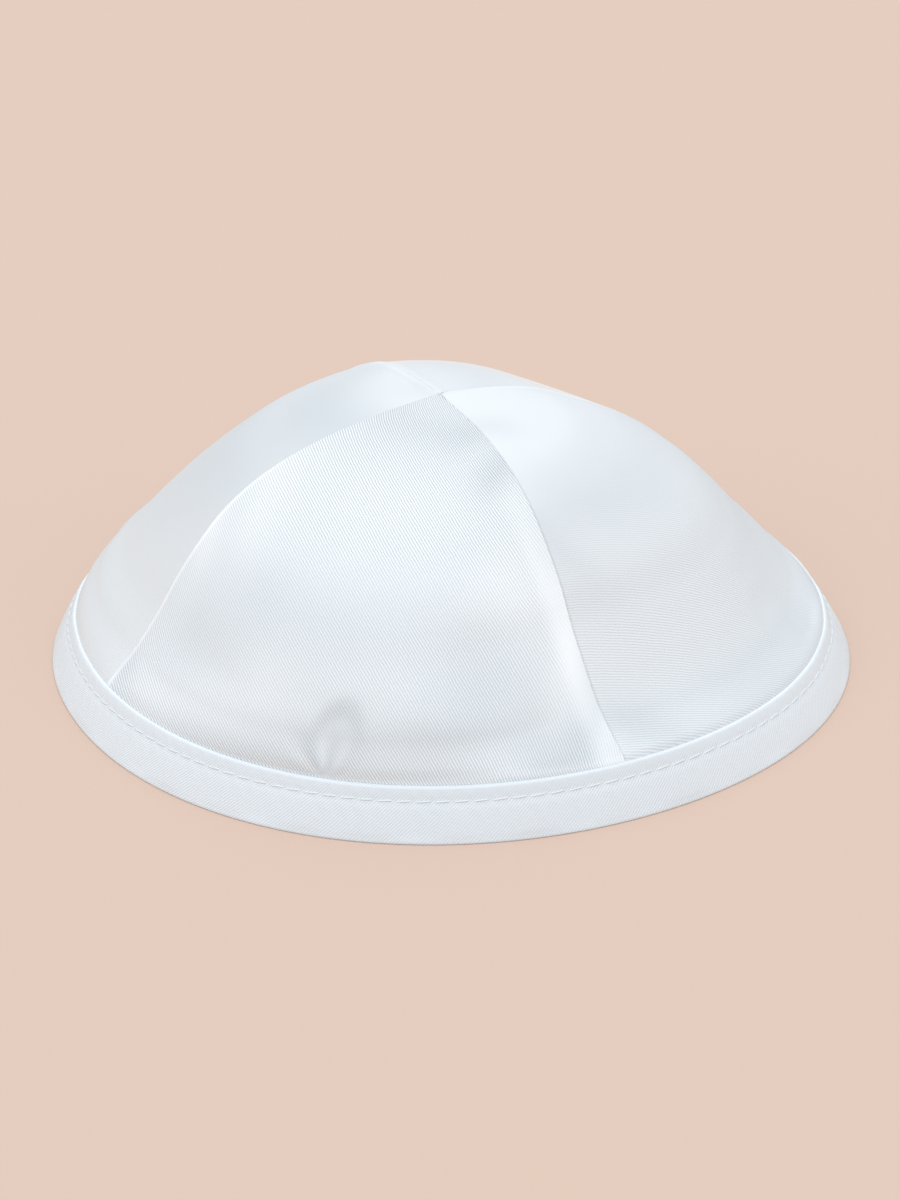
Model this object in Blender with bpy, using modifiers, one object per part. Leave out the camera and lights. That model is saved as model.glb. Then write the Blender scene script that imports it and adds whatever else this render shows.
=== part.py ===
"""Kippah skullcap: four sewn satin panels whose foot is held in a binding folded round the rim.

The cap rests on its rim. +Z is up, the front panel faces -Y, and the origin is at the middle of
the rim's box, on the surface that the rim rests on. Azimuths turn anticlockwise from +X.
"""
import bmesh
import bpy
import numpy as np
from math import acos
from math import atan2
from math import cos
from math import hypot
from math import pi
from math import radians
from math import sin
from typing import NamedTuple

MM = 0.001

# The rim seen from above: a slightly oval ring that each panel's middle pushes outwards
RIM_RADIUS = 85.0 * MM
RIM_OVAL = 1.6 * MM
RIM_OVAL_TURN = radians(-25.0)
RIM_LOBE = 2.1 * MM

# The crown
CAP_HEIGHT = 59.2 * MM
PEAK_BACK = 0.5 * MM
SATIN_WALL = 1.2 * MM

# The binding: a strip folded round the panels' foot, its outside leaf leaning in with the crown
BINDING_HEIGHT = 10.0 * MM
BINDING_INSIDE_HEIGHT = 9.0 * MM
BINDING_LEAN = 5.6 * MM
BINDING_LEAF = 1.0 * MM
BINDING_FOLD_ROUND = 0.8 * MM
BINDING_EDGE_ROUND = 0.3 * MM
BINDING_BULGE = 0.15 * MM

# Clearances between the pieces
SEAM_GAP = 0.3 * MM
CLEARANCE = 0.3 * MM

# Fineness of the meshes
PANEL_COLUMNS = 24
ROWS_PER_LEVEL = 2
BINDING_ROWS = 2
BINDING_STEPS = 88
MIDDLE_CROWDING = 0.7


class Panel(NamedTuple):
    """One panel, between two seams; lobe is its share of the rim's outward push."""

    name: str
    first_seam: str
    middle: str
    last_seam: str
    lobe: float


class Level(NamedTuple):
    """One level of the crown. up is its share of the way from the binding's top to the peak.

    The other columns are the shares of the foot's radius that are left at that level, at each
    seam and at the middle of each panel, in their order round the cap.
    """

    up: float
    seam_front_left: float
    front: float
    seam_front_right: float
    right: float
    seam_back_right: float
    back: float
    seam_back_left: float
    left: float


class Dent(NamedTuple):
    """A soft hollow in a panel.

    across runs from -1 at the panel's first seam to 1 at its last, up is a share of the crown's
    rise, width and depth are shares of the rim's radius and rise is a share of the cap's height.
    """

    panel: str
    across: float
    up: float
    width: float
    rise: float
    depth: float


SEAM_AZIMUTHS = {
    "seam_front_left": radians(-156.0),
    "seam_front_right": radians(-64.0),
    "seam_back_right": radians(33.0),
    "seam_back_left": radians(117.0),
}

PANELS = (
    Panel("panel_front", "seam_front_left", "front", "seam_front_right", 0.45),
    Panel("panel_right", "seam_front_right", "right", "seam_back_right", 1.0),
    Panel("panel_back", "seam_back_right", "back", "seam_back_left", 1.0),
    Panel("panel_left", "seam_back_left", "left", "seam_front_left", 1.0),
)

LEVELS = (
    Level(0.00, 1.000, 1.000, 1.000, 1.000, 1.000, 1.000, 1.000, 1.000),
    Level(0.14, 0.925, 0.968, 0.885, 0.900, 0.950, 0.935, 0.935, 0.955),
    Level(0.28, 0.855, 0.914, 0.805, 0.825, 0.875, 0.845, 0.845, 0.870),
    Level(0.42, 0.795, 0.845, 0.735, 0.760, 0.795, 0.765, 0.770, 0.790),
    Level(0.56, 0.725, 0.762, 0.680, 0.690, 0.700, 0.680, 0.695, 0.705),
    Level(0.70, 0.635, 0.662, 0.600, 0.580, 0.570, 0.570, 0.610, 0.605),
    Level(0.82, 0.510, 0.535, 0.510, 0.460, 0.425, 0.455, 0.520, 0.500),
    Level(0.92, 0.325, 0.360, 0.380, 0.325, 0.275, 0.330, 0.390, 0.350),
    Level(0.98, 0.125, 0.165, 0.210, 0.155, 0.110, 0.170, 0.235, 0.175),
    Level(1.00, 0.000, 0.000, 0.000, 0.000, 0.000, 0.000, 0.000, 0.000),
)

DENTS = (
    Dent("panel_front", 0.03, 0.07, 0.050, 0.11, 0.020),
    Dent("panel_front", -0.62, 0.30, 0.160, 0.20, 0.010),
    Dent("panel_front", 0.55, 0.36, 0.130, 0.20, 0.010),
    Dent("panel_front", 0.78, 0.12, 0.090, 0.14, 0.009),
    Dent("panel_right", -0.05, 0.06, 0.040, 0.08, 0.012),
    Dent("panel_back", 0.00, 0.06, 0.040, 0.08, 0.012),
    Dent("panel_left", 0.00, 0.06, 0.040, 0.08, 0.012),
)

# The share of the crown's rise over which a dent dies out towards the binding
DENT_FADE = 0.05

LEAN_ANGLE = atan2(BINDING_LEAN, BINDING_HEIGHT)


def smooth_read(values, at):
    """Read a column of levels at fractional rows, smoothly and with no overshoot."""
    steps = np.diff(values)
    before = steps[:-1]
    after = steps[1:]
    same_way = before * after > 0
    total = np.where(same_way, before + after, 1.0)
    inner = np.where(same_way, 2 * before * after / total, 0.0)
    first = np.clip(1.5 * steps[0] - 0.5 * steps[1], min(3 * steps[0], 0), max(3 * steps[0], 0))
    last = np.clip(1.5 * steps[-1] - 0.5 * steps[-2], min(3 * steps[-1], 0), max(3 * steps[-1], 0))
    slopes = np.concatenate([[first], inner, [last]])
    row = np.clip(np.floor(at).astype(int), 0, len(values) - 2)
    t = at - row
    start_value = values[row] * (1 + 2 * t) * (1 - t) ** 2
    start_slope = slopes[row] * t * (1 - t) ** 2
    end_value = values[row + 1] * t**2 * (3 - 2 * t)
    end_slope = slopes[row + 1] * t**2 * (t - 1)
    return start_value + start_slope + end_value + end_slope


def level_column(name, at):
    """Read one named column of LEVELS at fractional rows."""
    return smooth_read(np.array([getattr(level, name) for level in LEVELS]), at)


def panel_span(panel):
    """The panel's middle azimuth and half of the angle between its seams."""
    first = SEAM_AZIMUTHS[panel.first_seam]
    last = SEAM_AZIMUTHS[panel.last_seam]
    half = ((last - first) % (2 * pi)) / 2
    return first + half, half


def panel_at(azimuth):
    """The panel at an azimuth, and how far across it that azimuth is, from -1 to 1."""
    for panel in PANELS:
        middle, half = panel_span(panel)
        off = (azimuth - middle + pi) % (2 * pi) - pi
        if abs(off) <= half + 1e-9:
            return panel, off / half
    return PANELS[0], 0.0


def rim_radius(azimuth):
    """Radius of the line where the binding's outside meets the surface that it rests on."""
    panel, across = panel_at(azimuth)
    push = RIM_LOBE * (panel.lobe * (1 + cos(pi * across)) - 1) / 2
    return RIM_RADIUS + push + RIM_OVAL * cos(2 * (azimuth - RIM_OVAL_TURN))


def lean_at(height):
    """How far the binding's outside has leaned in at a height."""
    return BINDING_LEAN * height / BINDING_HEIGHT


def level_depth(thickness):
    """The level width that a thickness square to the leaning binding takes up."""
    return thickness / cos(LEAN_ANGLE)


def panel_outside(azimuth, height):
    """Radius of a panel's outside where it runs inside the binding."""
    return rim_radius(azimuth) - lean_at(height) - level_depth(BINDING_LEAF + CLEARANCE)


def rim_box_middle():
    """Middle of the box round the rim, in plan."""
    turns = [2 * pi * step / BINDING_STEPS for step in range(BINDING_STEPS)]
    widest = [rim_radius(turn) - lean_at(BINDING_FOLD_ROUND) for turn in turns]
    across = [radius * cos(turn) for radius, turn in zip(widest, turns)]
    along = [radius * sin(turn) for radius, turn in zip(widest, turns)]
    return (min(across) + max(across)) / 2, (min(along) + max(along)) / 2


def seam_weight(across, half):
    """0 at a panel's middle and 1 at its seams, rising as the gap to a flat chord does."""
    return (1 / cos(half * across) - 1) / (1 / cos(half) - 1)


def dent_depth(panel, across, up):
    """How far the panel's dents press its surface in at one place."""
    middle, half = panel_span(panel)
    fade = min(up / DENT_FADE, 1.0)
    depth = 0.0
    for dent in DENTS:
        if dent.panel == panel.name:
            sideways = (across - dent.across) * half * RIM_RADIUS / (dent.width * RIM_RADIUS)
            upwards = (up - dent.up) * (CAP_HEIGHT - BINDING_HEIGHT) / (dent.rise * CAP_HEIGHT)
            depth += dent.depth * RIM_RADIUS * np.exp(-(sideways**2) - upwards**2)
    return depth * fade


def crown_point(panel, across, row):
    """A point on the panel's outside, at a fractional row of LEVELS."""
    middle, half = panel_span(panel)
    at = np.array([row], dtype=float)
    up = float(level_column("up", at)[0])
    first = float(level_column(panel.first_seam, at)[0])
    centre = float(level_column(panel.middle, at)[0])
    last = float(level_column(panel.last_seam, at)[0])
    between = first + (last - first) * (1 + across) / 2
    share = between + (centre - (first + last) / 2) * (1 - seam_weight(across, half))
    foot = panel_outside(middle + half * across, BINDING_HEIGHT)
    radius = foot * share - dent_depth(panel, across, up)
    inset = seam_inset(radius, half)
    azimuth = middle + (half - inset) * across
    reach = max(radius, SEAM_GAP / 2 / sin(half))
    height = BINDING_HEIGHT + (CAP_HEIGHT - BINDING_HEIGHT) * up
    return reach * cos(azimuth), PEAK_BACK * up + reach * sin(azimuth), height


def seam_inset(radius, half):
    """The angle that half of the seam's gap takes up at a radius, at most the half panel."""
    if radius * sin(half) <= SEAM_GAP / 2:
        return half
    return pi / 2 - acos(SEAM_GAP / 2 / radius)


def foot_point(panel, across, height):
    """A point on the panel's outside, at a height inside the binding."""
    middle, half = panel_span(panel)
    radius = panel_outside(middle + half * across, height)
    azimuth = middle + (half - seam_inset(radius, half)) * across
    return radius * cos(azimuth), radius * sin(azimuth), height


def panel_mesh(panel):
    """The panel's outside as a grid bent to the crown, closed to one point at the peak."""
    crown_rows = (len(LEVELS) - 1) * ROWS_PER_LEVEL
    all_rows = crown_rows + BINDING_ROWS
    floor = BINDING_LEAF + CLEARANCE + SATIN_WALL * sin(LEAN_ANGLE)
    grid = bmesh.new()
    bmesh.ops.create_grid(grid, x_segments=PANEL_COLUMNS, y_segments=all_rows, size=1.0)
    for vertex in grid.verts:
        side = vertex.co.x
        across = side * (MIDDLE_CROWDING + (1 - MIDDLE_CROWDING) * side**2)
        row = (vertex.co.y + 1) / 2 * all_rows - BINDING_ROWS
        if row < -1e-4:
            share = 1 + row / BINDING_ROWS
            vertex.co = foot_point(panel, across, floor + (BINDING_HEIGHT - floor) * share)
        else:
            vertex.co = crown_point(panel, across, row / ROWS_PER_LEVEL)
    bmesh.ops.remove_doubles(grid, verts=grid.verts, dist=SEAM_GAP / 10)
    bmesh.ops.recalc_face_normals(grid, faces=grid.faces)
    if sum(face.normal.z for face in grid.faces) < 0:
        bmesh.ops.reverse_faces(grid, faces=grid.faces)
    mesh = bpy.data.meshes.new(panel.name)
    grid.to_mesh(mesh)
    grid.free()
    mesh.shade_smooth()
    return mesh


def binding_section():
    """The folded binding cut across, as (depth in from its outside, height) round the cut."""
    leaf = level_depth(BINDING_LEAF)
    whole = level_depth(2 * BINDING_LEAF + 2 * CLEARANCE + SATIN_WALL)
    fold = BINDING_FOLD_ROUND
    edge = BINDING_EDGE_ROUND
    shoulder = fold * (1 - cos(pi / 4))
    inside_top = BINDING_INSIDE_HEIGHT
    top = BINDING_HEIGHT
    underside = [(shoulder, shoulder), (fold, 0.0), (whole - fold, 0.0), (whole - shoulder, shoulder)]
    inner_face = [(whole, fold), (whole, inside_top - edge)]
    inner_edge = [(whole - edge, inside_top), (whole - leaf + edge, inside_top)]
    channel_in = [(whole - leaf, inside_top - edge), (whole - leaf, BINDING_LEAF)]
    channel_out = [(leaf, BINDING_LEAF), (leaf, top - edge)]
    outer_edge = [(leaf - edge, top), (edge, top)]
    outer_face = [(0.0, top - edge), (-BINDING_BULGE, top / 2), (0.0, fold)]
    return underside + inner_face + inner_edge + channel_in + channel_out + outer_edge + outer_face


def binding_mesh():
    """The binding's cut turned once round the cap, then pressed to the rim's own plan."""
    ring = bmesh.new()
    cut = binding_section()
    corners = [ring.verts.new((RIM_RADIUS - lean_at(up) - depth, 0.0, up)) for depth, up in cut]
    edges = [ring.edges.new((corners[i - 1], corners[i])) for i in range(len(corners))]
    bmesh.ops.spin(
        ring,
        geom=corners + edges,
        cent=(0.0, 0.0, 0.0),
        axis=(0.0, 0.0, 1.0),
        angle=2 * pi,
        steps=BINDING_STEPS,
        use_merge=True,
    )
    for vertex in ring.verts:
        azimuth = atan2(vertex.co.y, vertex.co.x)
        radius = hypot(vertex.co.x, vertex.co.y) + rim_radius(azimuth) - RIM_RADIUS
        vertex.co.x = radius * cos(azimuth)
        vertex.co.y = radius * sin(azimuth)
    bmesh.ops.recalc_face_normals(ring, faces=ring.faces)
    mesh = bpy.data.meshes.new("rim_binding")
    ring.to_mesh(mesh)
    ring.free()
    mesh.shade_smooth()
    mesh.set_sharp_from_angle(angle=radians(50.0))
    return mesh


def cloth_material(name, colour, roughness):
    """A plain cloth finish."""
    material = bpy.data.materials.new(name)
    material.use_nodes = True
    shader = material.node_tree.nodes["Principled BSDF"]
    shader.inputs["Base Color"].default_value = (*colour, 1.0)
    shader.inputs["Roughness"].default_value = roughness
    shader.inputs["Metallic"].default_value = 0.0
    material.diffuse_color = (*colour, 1.0)
    return material


def add_piece(mesh, material, collection, cap):
    """Put a finished mesh in the cap's collection, standing at the rim's own middle."""
    piece = bpy.data.objects.new(mesh.name, mesh)
    mesh.materials.append(material)
    collection.objects.link(piece)
    piece.parent = cap
    return piece


def add_panel(panel, collection, cap):
    """One satin panel: its outside surface with the cloth's wall inside it."""
    satin = cloth_material(panel.name + "_satin", (0.83, 0.86, 0.89), 0.35)
    piece = add_piece(panel_mesh(panel), satin, collection, cap)
    wall = piece.modifiers.new("cloth wall", "SOLIDIFY")
    wall.thickness = SATIN_WALL
    wall.offset = -1.0
    wall.use_even_offset = True
    wall.use_quality_normals = True


def add_binding(collection, cap):
    """The folded binding round the rim."""
    tape = cloth_material("rim_binding_satin", (0.80, 0.84, 0.88), 0.4)
    add_piece(binding_mesh(), tape, collection, cap)


def main():
    """Clear the scene and build the cap."""
    for leftover in list(bpy.data.objects):
        bpy.data.objects.remove(leftover, do_unlink=True)
    collection = bpy.data.collections.new("kippah_skullcap")
    bpy.context.scene.collection.children.link(collection)
    cap = bpy.data.objects.new("kippah_skullcap", None)
    collection.objects.link(cap)
    middle_x, middle_y = rim_box_middle()
    cap.location = (-middle_x, -middle_y, 0.0)
    for panel in PANELS:
        add_panel(panel, collection, cap)
    add_binding(collection, cap)
    bpy.context.view_layer.update()


main()
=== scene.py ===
"""A white satin kippah resting on its rim: four sewn panels, a stitched binding and soft light.

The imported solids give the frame. Every visible cloth surface is worked out here as arrays, from
the same sizes as the solids: the panels as bent gores with their seams, dents and puckers, and
the binding as one folded strip carried round the rim. Azimuths turn anticlockwise from +X, the
front panel faces -Y, and lengths are in metres.
"""
import logging
from dataclasses import dataclass, replace
from enum import Enum
from math import atan2, cos, pi, radians, sin

import bmesh
import bpy
import numpy as np
from mathutils import Matrix, Vector


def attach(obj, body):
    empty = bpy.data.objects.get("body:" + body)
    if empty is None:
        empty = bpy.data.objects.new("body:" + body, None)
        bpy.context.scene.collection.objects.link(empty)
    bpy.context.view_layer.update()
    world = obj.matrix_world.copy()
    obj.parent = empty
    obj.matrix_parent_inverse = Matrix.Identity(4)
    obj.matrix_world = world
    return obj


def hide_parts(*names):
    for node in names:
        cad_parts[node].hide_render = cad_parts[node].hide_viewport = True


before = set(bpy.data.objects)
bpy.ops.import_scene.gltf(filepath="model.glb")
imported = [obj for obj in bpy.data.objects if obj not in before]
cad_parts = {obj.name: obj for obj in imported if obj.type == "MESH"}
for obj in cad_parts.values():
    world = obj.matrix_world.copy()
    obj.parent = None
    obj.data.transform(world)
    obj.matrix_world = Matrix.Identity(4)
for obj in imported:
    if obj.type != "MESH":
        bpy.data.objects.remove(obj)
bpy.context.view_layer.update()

MM = 0.001
TURN = 2 * pi
BODY = "root"
DAYLIGHT = (0.955, 1.0, 1.04)
Array = np.ndarray
Marks = dict[str, Array]
log = logging.getLogger("kippah")


class Slot(Enum):
    """The finishes that the record names."""

    SATIN = "satin"
    BINDING = "binding"


class Side(Enum):
    """The two faces of a folded strip, and which way each one looks."""

    OUTSIDE = 1.0
    INSIDE = -1.0


def smooth_read(values: Array, at: Array) -> Array:
    """Read a column at fractional rows, smoothly and with no overshoot.

    Each stretch between two rows is a cubic whose end slopes are the harmonic means of the
    steps on both sides, and level where the steps change sign.

    Args:
        values: The column, one number a row.
        at: The fractional rows to read.

    Returns:
        The values there, in at's shape.
    """
    steps = np.diff(values)
    before, after = steps[:-1], steps[1:]
    same_way = before * after > 0
    total = np.where(same_way, before + after, 1.0)
    inner = np.where(same_way, 2 * before * after / total, 0.0)
    def end_slope(near: float, far: float) -> float:
        return np.clip(1.5 * near - 0.5 * far, min(3 * near, 0), max(3 * near, 0))
    first, last = end_slope(steps[0], steps[1]), end_slope(steps[-1], steps[-2])
    slopes = np.concatenate([[first], inner, [last]])
    row = np.clip(np.floor(at).astype(int), 0, len(values) - 2)
    t = at - row
    start = values[row] * (1 + 2 * t) * (1 - t) ** 2 + slopes[row] * t * (1 - t) ** 2
    end = values[row + 1] * t**2 * (3 - 2 * t) + slopes[row + 1] * t**2 * (t - 1)
    return start + end


def bell(distance: Array, reach: float) -> Array:
    """A bell curve: 1 where distance is 0, falling to 1/e at reach."""
    return np.exp(-((distance / reach) ** 2))


def ease(value: Array) -> Array:
    """0 below 0, 1 above 1, and a smooth S between."""
    t = np.clip(value, 0.0, 1.0)
    return t * t * (3 - 2 * t)


@dataclass(frozen=True)
class Level:
    """One level of the crown: up is its share of the way from the binding's top to the peak.

    The other fields are the shares of the foot's radius that are left there, at each seam and
    at each panel's middle, in their order round the cap.
    """

    up: float
    seam_front_left: float
    front: float
    seam_front_right: float
    right: float
    seam_back_right: float
    back: float
    seam_back_left: float
    left: float


@dataclass(frozen=True)
class Patch:
    """A soft spot on a panel, with its lengths in millimetres along the cloth.

    across runs from -1 at the first seam to 1 at the last, up is a share of the crown's rise,
    and wide and tall are the distances at which the spot has faded to 1/e.
    """

    across: float
    up: float
    wide: float
    tall: float


@dataclass(frozen=True)
class Swell(Patch):
    """A swelling, or a hollow where lift is below 0. turn leans it clockwise."""

    lift: float
    turn: float = 0.0


@dataclass(frozen=True)
class PaintedLightPatch(Patch):
    """A patch of light painted into the cloth's colour: a painted highlight, or painted shade
    where gain is below 0.

    plain is the share of the weave's lines that is lost there.
    """

    gain: float
    plain: float = 0.0


@dataclass(frozen=True)
class Dart:
    """A pinch where a panel's foot is gathered into the binding.

    Above it the cloth sinks into a dent with an arched brow, and creases fan up from it. width
    is half the dent's, rise the height of its middle up the cloth, and lean how far it leans
    towards the last seam for each length up. shade is how much shade is painted into the
    colour of its brow, dent and creases.
    """

    across: float = 0.0
    width: float = 4.5 * MM
    rise: float = 6.5 * MM
    depth: float = 0.3 * MM
    lean: float = 0.0
    crease: float = 0.08 * MM
    creases: int = 9
    shade: float = 0.0


@dataclass(frozen=True)
class SeamSide:
    """How one panel meets one seam: the rolled edge, the allowance beneath and the puckers.

    shine paints a highlight on the cloth that is pressed over the allowance, or below 0 paints
    shade along the line of the seam; painted_shine_width is how wide that painted strip is, and
    painted_shine_from the radius at which it starts. settle is the share of the panel's own forms
    that is levelled out on the seam.
    """

    painted_shine: float = 0.0
    painted_shine_width: float = 2.0 * MM
    painted_shine_from: float = 28.0 * MM
    lift: float = 0.0
    lift_width: float = 4.0 * MM
    roll_width: float = 0.5 * MM
    sink: float = 0.12 * MM
    pucker: float = 0.03 * MM
    settle: float = 1.0


@dataclass(frozen=True)
class Gore:
    """One panel of the crown: where it lies between two seams, and what marks its cloth.

    lobe is its share of the rim's push outwards, drift the phase of its slow ripples, shade and
    line_depth are its finish's, and smooth_top is the share of the weave lost on the top.
    """

    node: str
    middle: str
    seams: tuple[str, str]
    lobe: float
    dart: Dart
    swells: tuple[Swell, ...] = ()
    painted_light_patches: tuple[PaintedLightPatch, ...] = ()
    first_side: SeamSide = SeamSide()
    last_side: SeamSide = SeamSide()
    drift: float = 0.0
    shade: float = 0.16
    line_depth: float = 0.35
    smooth_top: float = 0.0

    def sides(self) -> tuple[tuple[float, SeamSide], ...]:
        """Both ends of across, each with the gore's side of the seam there."""
        return (-1.0, self.first_side), (1.0, self.last_side)


SEAM_AZIMUTHS = {
    "seam_front_left": radians(-156.0),
    "seam_front_right": radians(-64.0),
    "seam_back_right": radians(33.0),
    "seam_back_left": radians(117.0),
}

LEVELS = (
    Level(0.00, 1.000, 1.000, 1.000, 1.000, 1.000, 1.000, 1.000, 1.000),
    Level(0.14, 0.925, 0.968, 0.885, 0.900, 0.950, 0.935, 0.935, 0.955),
    Level(0.28, 0.855, 0.914, 0.805, 0.825, 0.875, 0.845, 0.845, 0.870),
    Level(0.42, 0.795, 0.845, 0.735, 0.760, 0.795, 0.765, 0.770, 0.790),
    Level(0.56, 0.725, 0.762, 0.680, 0.690, 0.700, 0.680, 0.695, 0.705),
    Level(0.70, 0.635, 0.662, 0.600, 0.580, 0.570, 0.570, 0.610, 0.605),
    Level(0.82, 0.510, 0.535, 0.510, 0.460, 0.425, 0.455, 0.520, 0.500),
    Level(0.92, 0.325, 0.360, 0.380, 0.325, 0.275, 0.330, 0.390, 0.350),
    Level(0.98, 0.125, 0.165, 0.210, 0.155, 0.110, 0.170, 0.235, 0.175),
    Level(1.00, 0.000, 0.000, 0.000, 0.000, 0.000, 0.000, 0.000, 0.000),
)

FLAT_SIDE = SeamSide(roll_width=0.3 * MM, sink=0.02 * MM)
# Raised side: a highlight painted beside the seam, over the allowance.
RAISED_SIDE = SeamSide(
    0.6, 1.6 * MM, 5 * MM, lift=0.25 * MM, lift_width=2.0 * MM, roll_width=0.8 * MM
)

FRONT_SWELLS = (
    Swell(-0.62, 0.30, 15, 12, -0.9),
    Swell(0.55, 0.36, 11, 13, -0.9, radians(-20)),
    Swell(0.78, 0.12, 8, 9, -0.7, radians(-20)),
    Swell(-0.42, 0.14, 26, 6, 0.35),
    Swell(0.45, 0.20, 18, 8, 1.0),
    Swell(0.60, 0.88, 8, 12, -0.5),
)

# Front panel: painted highlights (gain above 0) and painted shade (gain below 0); the last
# patches only lose the weave's lines.
FRONT_PAINTED_LIGHT = (
    PaintedLightPatch(0.00, 0.84, 36, 13, 0.17),
    PaintedLightPatch(-0.80, 0.78, 9, 16, 0.24),
    PaintedLightPatch(0.70, 0.64, 8, 9, 0.14),
    PaintedLightPatch(0.00, 0.50, 34, 10, -0.18),
    PaintedLightPatch(0.52, 0.26, 14, 12, -0.30),
    PaintedLightPatch(0.80, 0.05, 11, 8, -0.36),
    PaintedLightPatch(0.90, 0.42, 4.5, 17, 0.34),
    PaintedLightPatch(0.97, 0.15, 3.0, 9, 0.26),
    PaintedLightPatch(-0.90, 0.62, 5, 10, 0.14),
    PaintedLightPatch(-0.45, 0.12, 17, 5.5, 0.22),
    PaintedLightPatch(-0.25, 0.30, 8, 6, 0.14),
    PaintedLightPatch(-0.75, 0.35, 10, 8, -0.08),
    PaintedLightPatch(-0.70, 0.22, 13, 6, -0.14),
    PaintedLightPatch(-0.50, 0.54, 14, 8, -0.12),
    PaintedLightPatch(-0.70, 0.03, 9, 5, 0.12),
    PaintedLightPatch(-0.30, 0.02, 17, 4.5, -0.12),
    PaintedLightPatch(0.85, 0.52, 6, 8, 0.12),
    PaintedLightPatch(0.92, 0.90, 5, 8, -0.32),
    PaintedLightPatch(0.00, 0.97, 22, 6, -0.10),
    PaintedLightPatch(0.05, 0.10, 9, 6, -0.09),
    PaintedLightPatch(-0.96, 0.62, 5, 16, 0.20),
    PaintedLightPatch(-0.95, 0.08, 5, 5, -0.24),
    PaintedLightPatch(0.85, 0.96, 6, 6, -0.14),
    PaintedLightPatch(-0.80, 0.47, 6, 6, -0.10),
    PaintedLightPatch(0.70, 0.52, 6, 6, 0.10),
    PaintedLightPatch(0.00, 0.62, 70, 11, 0.0, plain=0.40),
    PaintedLightPatch(0.00, 0.36, 70, 15, 0.0, plain=0.40),
    PaintedLightPatch(0.00, 0.10, 70, 12, 0.0, plain=0.28),
    PaintedLightPatch(-0.65, 0.42, 16, 18, 0.0, plain=0.24),
    PaintedLightPatch(0.85, 0.25, 12, 20, 0.0, plain=0.25),
)

RIGHT_SWELLS = (
    Swell(0.10, 0.10, 12, 12, -0.5),
    Swell(0.75, 0.12, 18, 8, 0.5),
)

# Right panel: painted highlights and painted shade.
RIGHT_PAINTED_LIGHT = (
    PaintedLightPatch(-0.45, 0.77, 22, 13, -0.14),
    PaintedLightPatch(0.90, 0.92, 8, 8, -0.14),
    PaintedLightPatch(0.50, 0.85, 12, 8, 0.10),
    PaintedLightPatch(-0.20, 0.42, 25, 10, 0.08),
    PaintedLightPatch(-0.40, 0.05, 28, 7, -0.24),
    PaintedLightPatch(-0.85, 0.06, 8, 7, -0.28),
    PaintedLightPatch(0.35, 0.00, 10, 5, -0.14),
    PaintedLightPatch(-0.95, 0.68, 5, 14, -0.14),
    PaintedLightPatch(-0.95, 0.97, 6, 6, -0.20),
    PaintedLightPatch(0.00, 0.05, 9, 7, -0.14),
    PaintedLightPatch(-0.85, 0.84, 9, 12, -0.05),
)

BACK_SWELLS = (
    Swell(-0.50, 0.30, 14, 12, -0.6),
    Swell(0.45, 0.25, 13, 12, -0.6),
    Swell(-1.29, 0.12, 18, 8, 0.5),
)

LEFT_SWELLS = (
    Swell(0.30, 0.25, 14, 14, -0.4),
    Swell(0.00, 0.20, 24, 16, 0.35),
)

# Left panel: painted shade, darkest towards the top.
LEFT_PAINTED_LIGHT = (
    PaintedLightPatch(0.60, 0.93, 30, 12, -0.44),
    PaintedLightPatch(0.00, 1.00, 9, 9, -0.22),
    PaintedLightPatch(0.70, 0.76, 30, 12, -0.30),
    PaintedLightPatch(0.40, 0.58, 30, 10, -0.10),
)

GORES = (
    Gore(
        "panel_front", "front", ("seam_front_left", "seam_front_right"),
        lobe=0.45,
        # the dart's shade is painted into the colour of its brow, dent and creases
        dart=Dart(
            0.03, 4.4 * MM, 6.8 * MM, depth=0.5 * MM, lean=0.15, crease=0.15 * MM, shade=0.17
        ),
        swells=FRONT_SWELLS,
        painted_light_patches=FRONT_PAINTED_LIGHT,
        # painted highlight strips beside both seams of the front panel
        first_side=replace(
            FLAT_SIDE, painted_shine=0.9, painted_shine_width=1.2 * MM, lift=0.05 * MM, lift_width=2.5 * MM
        ),
        last_side=replace(
            FLAT_SIDE,
            painted_shine=0.5,
            painted_shine_width=4.6 * MM,
            lift=0.06 * MM,
            lift_width=5.0 * MM,
            pucker=0.05 * MM,
        ),
        drift=0.4,
        shade=0.37,
        line_depth=1.35,
    ),
    Gore(
        "panel_right", "right", ("seam_front_right", "seam_back_right"),
        lobe=1.0,
        dart=Dart(-0.05, 6.0 * MM, 8.0 * MM, depth=0.25 * MM),
        swells=RIGHT_SWELLS,
        painted_light_patches=RIGHT_PAINTED_LIGHT,
        # painted shade along the seam's line
        first_side=replace(FLAT_SIDE, painted_shine=-0.8, painted_shine_width=0.3 * MM, painted_shine_from=0.0),
        last_side=replace(
            RAISED_SIDE, painted_shine=0.7, lift_width=3.0 * MM, roll_width=0.6 * MM, settle=0.0
        ),
        drift=1.9,
        shade=0.28,
        line_depth=0.55,
        smooth_top=0.85,
    ),
    Gore(
        "panel_back", "back", ("seam_back_right", "seam_back_left"),
        lobe=1.0,
        dart=Dart(),
        swells=BACK_SWELLS,
        # painted shade on the back panel's top
        painted_light_patches=(PaintedLightPatch(0.0, 0.95, 20, 10, -0.16),),
        # painted shade along the seam's line
        first_side=SeamSide(-1.6, 0.35 * MM, 0.0, settle=0.0),
        last_side=RAISED_SIDE,
        drift=3.1,
        smooth_top=0.9,
    ),
    Gore(
        "panel_left", "left", ("seam_back_left", "seam_front_left"),
        lobe=1.0,
        dart=Dart(0.05),
        swells=LEFT_SWELLS,
        painted_light_patches=LEFT_PAINTED_LIGHT,
        first_side=RAISED_SIDE,
        last_side=FLAT_SIDE,
        drift=4.6,
        smooth_top=0.9,
    ),
)


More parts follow.
